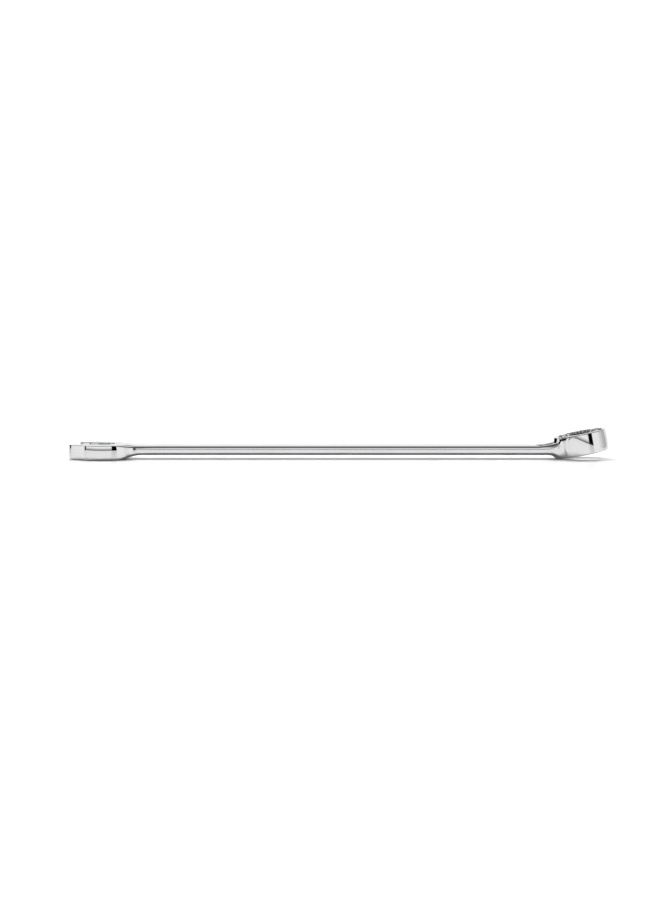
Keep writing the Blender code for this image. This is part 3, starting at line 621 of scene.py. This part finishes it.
def pocket_cutter():
    """Hollow that the pawl rocks in, from the pawl's own corners at both ends of its rock."""
    to_head = head_matrix().inverted()
    corners = [to_head @ v.co for v in frame["nodes"]["pawl"].data.vertices]
    corners = [(p.x, p.y) for p in corners]
    corners += [(x, -y) for x, y in corners]
    swept = [Vector((LEVER_PIVOT + SHAFT_RADIUS / 2.0, side * POCKET_WINDOW))
             for side in (-1, 1)]
    for rock in (-PAWL_ROCK, 0.0):
        swept += [Vector(turn(p, rock, (PAWL_PIVOT, 0.0))) for p in corners]
    hull = [swept[k] for k in convex_hull_2d(swept)]
    kept = [p for k, p in enumerate(hull) if (p - hull[k - 1]).length > 0.0002]
    if sum(kept[k - 1].cross(p) for k, p in enumerate(kept)) < 0.0:
        kept.reverse()
    normals = outline_normals(kept)
    outline = [(p.x + n[0] * POCKET_GAP, p.y + n[1] * POCKET_GAP) for p, n in zip(kept, normals)]
    vertices, faces = stack([(outline, PAWL_LOW - POCKET_GAP), (outline, PAWL_HIGH + POCKET_GAP)])
    return mesh_object("pocket_cutter", vertices, faces, head_matrix())


def bore_cutter():
    groove = CLIP_WIRE + CLIP_PLAY
    profile = [(0.0, -0.0060), (BORE_RADIUS, -0.0060), (BORE_RADIUS, CLIP_LEVEL - groove),
               (BORE_RADIUS + BORE_GROOVE_DEPTH, CLIP_LEVEL - groove),
               (BORE_RADIUS + BORE_GROOVE_DEPTH, CLIP_LEVEL + groove),
               (BORE_RADIUS, CLIP_LEVEL + groove), (BORE_RADIUS, 0.0040), (0.0, 0.0040)]
    return turned_object("bore_cutter", profile, 64, head_matrix(), (LEVER_PIVOT, 0.0))


def lever_lean():
    return math.asin((LEVER_HUB - LEVER_TIP_HALF) / (LEVER_REACH - LEVER_TIP_HALF))


def seat_cutter():
    radius = LEVER_HUB + SEAT_GAP
    half = (LEVER_SWING + math.pi / 2.0 - lever_lean()
            - math.acos(LEVER_HUB / (radius - SEAT_GAP / 2.0)))
    outline = arc((0.0, 0.0), radius, math.pi + half, 3.0 * math.pi - half, 2.0 * FINE_STEP)
    outline += arc((0.0, 0.0), LEVER_REACH + SEAT_GAP, math.pi - half, math.pi + half,
                   2.0 * FINE_STEP)
    outline = [(LEVER_PIVOT + x, y) for x, y in outline]
    vertices, faces = stack([(outline, SEAT_FLOOR), (outline, 0.0075)])
    return mesh_object("seat_cutter", vertices, faces, head_matrix())


def apply_cuts(item, cutters):
    for cutter in cutters:
        modifier = item.modifiers.new(cutter.name, "BOOLEAN")
        modifier.operation = "DIFFERENCE"
        modifier.solver = "EXACT"
        modifier.object = cutter
    bpy.context.view_layer.update()
    evaluated = item.evaluated_get(bpy.context.evaluated_depsgraph_get())
    result = bpy.data.meshes.new_from_object(evaluated)
    item.modifiers.clear()
    item.data = result
    for cutter in cutters:
        bpy.data.objects.remove(cutter)


def build_body():
    vertices, faces = forging_shell()
    body = mesh_object("forged_body", vertices, faces)
    fit_in_box(body, BODY_LOW, BODY_HIGH)
    apply_cuts(body, [gear_cavity(), pocket_cutter(), bore_cutter(), seat_cutter()])
    finish_shading(body)
    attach(body, "handle")
    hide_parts("wrench_body")
    return body


# ---------------------------------------------------------------- gear and lever
def circle(radius, count):
    return [(radius * math.cos(2.0 * math.pi * k / count),
             radius * math.sin(2.0 * math.pi * k / count)) for k in range(count)]


def socket_loop(count):
    """Twelve-point opening: each side lies on one of two hexagons."""
    flat = (JAW_SIZE + JAW_CLEARANCE) / 2.0
    points = []
    for k in range(count):
        angle = 2.0 * math.pi * k / count
        away = abs((angle + math.pi / 12.0) % (math.pi / 6.0) - math.pi / 12.0)
        radius = flat / math.cos(math.pi / 6.0 - away)
        points.append((radius * math.cos(angle), radius * math.sin(angle)))
    return points


def tooth_loop(count):
    points = []
    for k in range(count):
        angle = 2.0 * math.pi * k / count
        share = abs((angle * GEAR_TEETH / (2.0 * math.pi)) % 1.0 - 0.5) * 2.0
        radius = TOOTH_TIP + (TOOTH_ROOT - TOOTH_TIP) * share
        points.append((radius * math.cos(angle), radius * math.sin(angle)))
    return points


def build_gear():
    count = 4 * GEAR_TEETH
    mouth = JAW_SIZE / 2.0 + SOCKET_LEAD_IN
    loops = [(circle(mouth, count), GEAR_LOW)]
    for step in range(5):
        angle = math.pi / 2.0 * step / 4.0
        loops.append((circle(LOWER_COLLAR - GEAR_LOWER_EDGE * (1.0 - math.sin(angle)), count),
                      GEAR_LOW + GEAR_LOWER_EDGE * (1.0 - math.cos(angle))))
    loops += [(circle(LOWER_COLLAR, count), TEETH_LOW), (tooth_loop(count), TEETH_LOW),
              (tooth_loop(count), TEETH_HIGH), (circle(UPPER_COLLAR, count), TEETH_HIGH)]
    for step in range(6):
        angle = math.pi / 2.0 * step / 5.0
        loops.append((circle(UPPER_COLLAR - GEAR_TOP_EDGE * (1.0 - math.cos(angle)), count),
                      GEAR_HIGH - GEAR_TOP_EDGE * (1.0 - math.sin(angle))))
    loops += [(circle(mouth, count), GEAR_HIGH),
              (socket_loop(count), GEAR_HIGH - SOCKET_LEAD_DEPTH),
              (socket_loop(count), GEAR_LOW + SOCKET_LEAD_DEPTH)]
    vertices = [(x, y, height) for outline, height in loops for x, y in outline]
    faces = []
    for level in range(len(loops)):
        base = level * count
        above = (level + 1) % len(loops) * count
        for index in range(count):
            following = (index + 1) % count
            faces.append((base + index, base + following, above + following, above + index))
    gear = mesh_object("socket_gear", vertices, faces, head_matrix())
    finish_shading(gear, 24.0)
    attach(gear, "gear")
    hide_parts("ratchet_gear")
    return gear


def lever_plan(inset=0.0):
    tip_centre = (-(LEVER_REACH - LEVER_TIP_HALF), 0.0)
    start = math.pi / 2.0 + lever_lean()
    hub = arc((0.0, 0.0), LEVER_HUB - inset, -start, start, 1.5 * FINE_STEP)
    tip = arc(tip_centre, LEVER_TIP_HALF - inset, start, 2.0 * math.pi - start, 2.0 * FINE_STEP)
    return hub + tip


def build_lever():
    """Thumb tab and solid shaft; the CAD's plunger bore isn't drilled in this one."""
    levels = []
    steps = 6
    for step in range(steps + 1):
        angle = math.pi / 2.0 * step / steps
        levels.append((lever_plan(0.5 * LEVER_EDGE * (1.0 - math.sin(angle))),
                       LEVER_LOW + 0.5 * LEVER_EDGE * (1.0 - math.cos(angle))))
    for step in range(steps + 1):
        angle = math.pi / 2.0 * step / steps
        levels.append((lever_plan(LEVER_EDGE * (1.0 - math.cos(angle))),
                       LEVER_HIGH - LEVER_EDGE * (1.0 - math.sin(angle))))
    vertices, faces = stack(levels)
    groove = CLIP_WIRE + CLIP_PLAY
    profile = [(0.0, SHAFT_LOW), (SHAFT_RADIUS - SHAFT_CHAMFER, SHAFT_LOW),
               (SHAFT_RADIUS, SHAFT_LOW + SHAFT_CHAMFER), (SHAFT_RADIUS, CLIP_LEVEL - groove),
               (SHAFT_RADIUS - SHAFT_GROOVE_DEPTH, CLIP_LEVEL - groove),
               (SHAFT_RADIUS - SHAFT_GROOVE_DEPTH, CLIP_LEVEL + groove),
               (SHAFT_RADIUS, CLIP_LEVEL + groove), (SHAFT_RADIUS, LEVER_LOW + 0.0005),
               (0.0, LEVER_LOW + 0.0005)]
    more, extra = turned(profile, 64)
    faces += [tuple(k + len(vertices) for k in face) for face in extra]
    vertices += more
    lever = mesh_object("selector_lever", vertices, faces, head_matrix(LEVER_AT, LEVER_U))
    drop_loose(lever)
    finish_shading(lever)
    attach(lever, "lever")
    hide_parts("reversing_lever")
    return lever


def build_coil():
    """Plunger's spring: a round wire wound along the lever's own u, with closed end turns."""
    matrix = head_matrix(LEVER_AT, LEVER_U)
    wire_sides = 10
    steps = int(COIL_TURNS * COIL_STEPS)
    vertices = []
    faces = []
    for step in range(steps + 1):
        angle = 2.0 * math.pi * step / COIL_STEPS
        climb = smooth(-0.15, 1.15, step / steps)
        low, high = smooth(-0.15, 1.15, 0.0), smooth(-0.15, 1.15, 1.0)
        along = COIL_FROM + (COIL_TO - COIL_FROM) * (climb - low) / (high - low)
        for k in range(wire_sides):
            turned_by = 2.0 * math.pi * k / wire_sides
            radius = COIL_RADIUS + COIL_WIRE * math.cos(turned_by)
            vertices.append((along + COIL_WIRE * math.sin(turned_by), radius * math.cos(angle),
                             PLUNGER_LEVEL + radius * math.sin(angle)))
    for step in range(steps):
        for k in range(wire_sides):
            after = (k + 1) % wire_sides
            faces.append((step * wire_sides + k, step * wire_sides + after,
                          (step + 1) * wire_sides + after, (step + 1) * wire_sides + k))
    faces.append(tuple(range(wire_sides)))
    faces.append(tuple(range(steps * wire_sides, (steps + 1) * wire_sides)))
    coil = mesh_object("plunger_coil", vertices, faces, matrix)
    coil.data.shade_smooth()
    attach(coil, "lever")
    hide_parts("pawl_spring")
    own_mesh(coil)
    return coil


# ---------------------------------------------------------------- finishes
class Tree:
    """Short calls for building a node tree."""

    def add(self, kind, **values):
        node = self.tree.nodes.new(kind)
        for key, value in values.items():
            setattr(node, key, value)
        return node

    def link(self, source, target):
        self.tree.links.new(source, target)

    def maths(self, operation, a, b=None):
        node = self.add("ShaderNodeMath", operation=operation)
        for place, value in enumerate((a, b)):
            if isinstance(value, float):
                node.inputs[place].default_value = value
            elif value is not None:
                self.link(value, node.inputs[place])
        return node.outputs["Value"]


class Nodes(Tree):
    """One material's node tree."""

    def __init__(self, name):
        self.material = bpy.data.materials.new(name)
        self.material.use_nodes = True
        self.tree = self.material.node_tree
        self.shader = self.tree.nodes["Principled BSDF"]
        self.coordinates = self.add("ShaderNodeTexCoord").outputs["Object"]

    def mapping(self, scale, rotation=(0.0, 0.0, 0.0)):
        node = self.add("ShaderNodeMapping")
        node.inputs["Scale"].default_value = scale
        node.inputs["Rotation"].default_value = rotation
        self.link(self.coordinates, node.inputs["Vector"])
        return node.outputs["Vector"]

    def noise(self, vector, scale, detail):
        node = self.add("ShaderNodeTexNoise")
        node.inputs["Scale"].default_value = scale
        node.inputs["Detail"].default_value = detail
        node.inputs["Roughness"].default_value = 0.55
        self.link(vector, node.inputs["Vector"])
        return node.outputs["Fac"]

    def ramp(self, value, stops):
        node = self.add("ShaderNodeMapRange", clamp=True)
        node.inputs["From Min"].default_value = stops[0]
        node.inputs["From Max"].default_value = stops[1]
        node.inputs["To Min"].default_value = stops[2]
        node.inputs["To Max"].default_value = stops[3]
        self.link(value, node.inputs["Value"])
        return node.outputs["Result"]

    def mix(self, factor, a, b):
        node = self.add("ShaderNodeMix", data_type="RGBA")
        self.link(factor, node.inputs["Factor"])
        node.inputs["A"].default_value = (*a, 1.0)
        node.inputs["B"].default_value = (*b, 1.0)
        return node.outputs["Result"]

    def bump(self, height, strength, distance, under=None):
        node = self.add("ShaderNodeBump")
        node.inputs["Strength"].default_value = strength
        node.inputs["Distance"].default_value = distance
        self.link(height, node.inputs["Height"])
        if under is not None:
            self.link(under, node.inputs["Normal"])
        return node.outputs["Normal"]

    def edge_wear(self):
        node = self.add("ShaderNodeNewGeometry")
        return self.ramp(node.outputs["Pointiness"], (0.505, 0.56, 0.0, 1.0))


def chrome(name, base, smudged, low, high):
    """Polished plating: faint smudges, hairline scratches and rubbed edges."""
    n = Nodes(name)
    smudge = n.ramp(n.noise(n.mapping((1.0, 1.0, 1.0)), 70.0, 5.0), (0.42, 0.72, 0.0, 1.0))
    hair = n.ramp(n.noise(n.mapping((120.0, 3200.0, 2600.0), (0.0, 0.0, 0.35)), 1.0, 2.0),
                  (0.66, 0.80, 0.0, 1.0))
    worn = n.edge_wear()
    n.link(n.mix(smudge, base, smudged), n.shader.inputs["Base Color"])
    rough = n.maths("ADD", n.ramp(smudge, (0.0, 1.0, low, high)), n.maths("MULTIPLY", hair, 0.05))
    n.link(n.maths("ADD", rough, n.maths("MULTIPLY", worn, 0.05)), n.shader.inputs["Roughness"])
    n.shader.inputs["Metallic"].default_value = 1.0
    grain = n.noise(n.mapping((1.0, 1.0, 1.0)), 260.0, 2.0)
    n.link(n.bump(grain, 0.10, 0.00002, n.bump(hair, 0.06, 0.000003)), n.shader.inputs["Normal"])
    return n.material


def machined_steel(name, base, dark, low, high, about=None):
    """Turned steel: fine rings about an axis, mottled roughness, darker in the marks."""
    n = Nodes(name)
    at = GEAR_AT if about is None else about
    vector = n.add("ShaderNodeMapping", vector_type="TEXTURE")
    vector.inputs["Location"].default_value = tuple(at)
    vector.inputs["Rotation"].default_value = (0.0, -OFFSET_ANGLE, 0.0)
    n.link(n.coordinates, vector.inputs["Vector"])
    wave = n.add("ShaderNodeTexWave", wave_type="RINGS", rings_direction="Z")
    wave.inputs["Scale"].default_value = 450.0
    wave.inputs["Distortion"].default_value = 1.5
    wave.inputs["Detail"].default_value = 2.0
    wave.inputs["Detail Scale"].default_value = 3.0
    n.link(vector.outputs["Vector"], wave.inputs["Vector"])
    rings = wave.outputs["Fac"]
    mottle = n.ramp(n.noise(n.mapping((1.0, 1.0, 1.0)), 420.0, 5.0), (0.35, 0.7, 0.0, 1.0))
    n.link(n.mix(mottle, base, dark), n.shader.inputs["Base Color"])
    rough = n.maths("ADD", n.ramp(mottle, (0.0, 1.0, low, high)),
                    n.maths("MULTIPLY", n.edge_wear(), -0.06))
    n.link(n.maths("ADD", rough, n.maths("MULTIPLY", rings, 0.04)), n.shader.inputs["Roughness"])
    n.shader.inputs["Metallic"].default_value = 1.0
    n.link(n.bump(rings, 0.10, 0.000004), n.shader.inputs["Normal"])
    return n.material


def dress(item, material):
    item.data.materials.clear()
    item.data.materials.append(material)


def soften(item, width):
    """Rounds a frame part's sharp edges without moving it."""
    bevel = item.modifiers.new("soft_edges", "BEVEL")
    bevel.width = width
    bevel.segments = 2
    bevel.limit_method = "ANGLE"
    bevel.angle_limit = math.radians(32.0)
    bevel.harden_normals = True


# ---------------------------------------------------------------- studio
CAMERA_RISE = math.radians(4.5)
CAMERA_DISTANCE = 1.57
CAMERA_LENS = 135.5
AIM = Vector((GEAR_AT.x - 0.11671, 0.0, BODY_LOW.z + 0.00387))


def add_camera():
    data = bpy.data.cameras.new("studio_camera")
    data.lens = CAMERA_LENS
    data.sensor_width = 36.0
    data.clip_start = 0.05
    data.clip_end = 60.0
    camera = bpy.data.objects.new("studio_camera", data)
    bpy.context.scene.collection.objects.link(camera)
    back = Vector((0.0, -math.cos(CAMERA_RISE), math.sin(CAMERA_RISE)))
    camera.location = AIM + back * CAMERA_DISTANCE
    camera.rotation_euler = (math.pi / 2.0 - CAMERA_RISE, 0.0, 0.0)
    bpy.context.scene.camera = camera


FLOOR_REACH = 6.0
FLOOR_GAP = 0.00002


def add_floor():
    level = BODY_LOW.z - FLOOR_GAP
    corners = [(x * FLOOR_REACH, y * FLOOR_REACH, level)
               for x, y in ((-1, -1), (1, -1), (1, 1), (-1, 1))]
    floor = mesh_object("studio_floor", corners, [(0, 1, 2, 3)])
    n = Nodes("white_sweep")
    n.shader.inputs["Base Color"].default_value = (0.88, 0.88, 0.88, 1.0)
    n.shader.inputs["Roughness"].default_value = 0.30
    n.shader.inputs["Specular IOR Level"].default_value = 0.35
    dress(floor, n.material)


class WorldNodes(Tree):
    """The world's node tree."""

    def __init__(self):
        world = bpy.data.worlds.new("studio_light")
        bpy.context.scene.world = world
        world.use_nodes = True
        self.tree = world.node_tree
        self.tree.nodes.clear()

    def step(self, value, low, high, out_low=0.0, out_high=1.0):
        node = self.add("ShaderNodeMapRange", interpolation_type="SMOOTHSTEP")
        for key, number in (("From Min", low), ("From Max", high), ("To Min", out_low),
                            ("To Max", out_high)):
            node.inputs[key].default_value = number
        self.link(value, node.inputs["Value"])
        return node.outputs["Result"]

    def curve(self, value, stops):
        """Piecewise linear value of the elevation in degrees."""
        node = self.add("ShaderNodeValToRGB")
        ramp = node.color_ramp
        ramp.interpolation = "LINEAR"
        low, high = stops[0][0], stops[-1][0]
        peak = max(level for _, level in stops)
        while len(ramp.elements) < len(stops):
            ramp.elements.new(0.5)
        for element, (place, level) in zip(ramp.elements, stops):
            element.position = (place - low) / (high - low)
            shade = level / peak
            element.color = (shade, shade, shade, 1.0)
        share = self.step_linear(value, low, high)
        self.link(share, node.inputs["Fac"])
        return self.maths("MULTIPLY", node.outputs["Color"], peak)

    def band(self, value, rise_from, rise_to, fall_from, fall_to):
        """One between the two inner values, nothing outside the two outer ones."""
        return self.maths("MULTIPLY", self.step(value, rise_from, rise_to),
                          self.step(value, fall_to, fall_from))

    def darken(self, level, share):
        return self.maths("MULTIPLY", level, self.maths("SUBTRACT", 1.0, share))

    def blend(self, first, second, share):
        return self.maths("ADD", self.darken(first, share),
                          self.maths("MULTIPLY", second, share))

    def step_linear(self, value, low, high):
        node = self.add("ShaderNodeMapRange", clamp=True)
        node.inputs["From Min"].default_value = low
        node.inputs["From Max"].default_value = high
        self.link(value, node.inputs["Value"])
        return node.outputs["Result"]


# The light depends on direction only: (elevation in degrees, level) in front of and behind the
# wrench, and azimuth zones in degrees (0 faces the camera, minus is the jaw's side), each placed
# so that the polished faces show the photograph's light and dark bands.
FRONT_STOPS = [(-10.0, 0.12), (0.0, 0.12), (2.2, 0.50), (4.5, 1.00), (6.5, 1.30), (9.5, 1.25),
               (13.0, 0.50), (16.0, 0.42), (26.0, 0.40), (29.0, 0.12), (66.0, 0.12), (76.0, 0.25),
               (90.0, 0.25)]
BACK_STOPS = [(-10.0, 0.95), (8.0, 0.95), (14.0, 1.40), (20.0, 1.40), (28.0, 0.20), (40.0, 0.20),
              (45.0, 10.4), (60.0, 10.4), (66.0, 0.25), (90.0, 0.25)]
ZONE_HEIGHT = (24.0, 15.0)    # the azimuth zones fade out between these elevations
BLANK_ZONE = (27.0, 31.0, 46.0, 50.0)
RIGHT_FROM = (46.0, 50.0)
RIGHT_LEVEL = (52.0, 120.0, 1.35, 0.60)
PANEL_ZONE = (-79.0, -77.0, -67.5, -66.0)
PANEL_LEVEL = 1.15
EDGE_ZONES = ((-67.0, -65.5, -61.0, -59.5), (-166.0, -152.0, -80.0, -77.5))
BEHIND_RIGHT = (122.0, 136.0)
BEHIND_LEFT = (-104.0, -120.0)
MIRROR_PEAK = 1.15            # most that glossy rays get; diffuse rays get the full level
BACKDROP = 1.1                # plain level that the camera itself sees behind the floor


def add_world():
    """Studio light by direction; not physical, as reflections get it capped at MIRROR_PEAK."""
    w = WorldNodes()
    direction = w.add("ShaderNodeTexCoord").outputs["Generated"]
    split = w.add("ShaderNodeSeparateXYZ")
    w.link(direction, split.inputs["Vector"])
    x, y, z = split.outputs
    rise = w.maths("MULTIPLY", w.maths("ARCSINE", z), 180.0 / math.pi)
    azimuth = w.maths("MULTIPLY", w.maths("ARCTAN2", x, w.maths("MULTIPLY", y, -1.0)),
                      180.0 / math.pi)
    lowest = w.step(rise, *ZONE_HEIGHT)
    right = w.maths("MULTIPLY", w.step(azimuth, *RIGHT_FROM), lowest)
    level = w.blend(w.curve(rise, FRONT_STOPS), w.step(azimuth, *RIGHT_LEVEL), right)
    level = w.darken(level, w.maths("MULTIPLY", w.band(azimuth, *BLANK_ZONE), lowest))
    level = w.blend(level, PANEL_LEVEL,
                    w.maths("MULTIPLY", w.band(azimuth, *PANEL_ZONE), lowest))
    behind = w.maths("MAXIMUM", w.step(azimuth, *BEHIND_RIGHT), w.step(azimuth, *BEHIND_LEFT))
    level = w.blend(level, w.curve(rise, BACK_STOPS), behind)
    edge = w.maths("MAXIMUM", *(w.band(azimuth, *zone) for zone in EDGE_ZONES))
    level = w.darken(level, w.maths("MULTIPLY", edge, lowest))
    path = w.add("ShaderNodeLightPath").outputs
    level = w.blend(level, w.maths("MINIMUM", level, MIRROR_PEAK), path["Is Glossy Ray"])
    seen = path["Is Camera Ray"]
    strength = w.maths("ADD", w.darken(level, seen), w.maths("MULTIPLY", seen, BACKDROP))
    light = w.add("ShaderNodeBackground")
    light.inputs["Color"].default_value = (1.0, 1.0, 1.0, 1.0)
    w.link(strength, light.inputs["Strength"])
    output = w.add("ShaderNodeOutputWorld")
    w.link(light.outputs["Background"], output.inputs["Surface"])


# ---------------------------------------------------------------- put together
def dress_frame_parts():
    nodes = frame["nodes"]
    ring = machined_steel("cover_finish", (0.50, 0.50, 0.51), (0.36, 0.36, 0.37), 0.26, 0.42)
    snap = machined_steel("snap_finish", (0.20, 0.20, 0.21), (0.11, 0.11, 0.12), 0.28, 0.45)
    washer = machined_steel("washer_finish", (0.46, 0.45, 0.43), (0.32, 0.31, 0.30), 0.30, 0.46)
    pawl = machined_steel("pawl_finish", (0.44, 0.44, 0.46), (0.28, 0.28, 0.30), 0.30, 0.48,
                          PAWL_AT)
    plunger = machined_steel("plunger_finish", (0.62, 0.62, 0.63), (0.45, 0.45, 0.47), 0.16, 0.30,
                             LEVER_AT)
    clip = machined_steel("clip_finish", (0.30, 0.30, 0.32), (0.16, 0.16, 0.18), 0.30, 0.46,
                          LEVER_AT)
    for name, material, width in (("gear_cover_ring", ring, 0.00006),
                                  ("gear_snap_ring", snap, 0.00008),
                                  ("gear_friction_washer", washer, 0.00004),
                                  ("pawl", pawl, 0.00006), ("pawl_plunger", plunger, 0.0),
                                  ("lever_retaining_ring", clip, 0.00005)):
        dress(nodes[name], material)
        if width > 0.0:
            soften(nodes[name], width)


dress(build_body(), chrome("forging_chrome", (0.70, 0.70, 0.705), (0.66, 0.66, 0.665), 0.035, 0.08))
dress(build_gear(), machined_steel("gear_finish", (0.52, 0.52, 0.53), (0.40, 0.40, 0.41),
                                   0.20, 0.34))
dress(build_lever(), chrome("lever_chrome", (0.72, 0.72, 0.725), (0.66, 0.66, 0.665), 0.05, 0.12))
dress(build_coil(), machined_steel("coil_finish", (0.40, 0.40, 0.42), (0.22, 0.22, 0.24),
                                   0.28, 0.44, LEVER_AT))
dress_frame_parts()
add_camera()
add_floor()
add_world()
bpy.context.scene.view_settings.view_transform = "Standard"
bpy.context.view_layer.update()
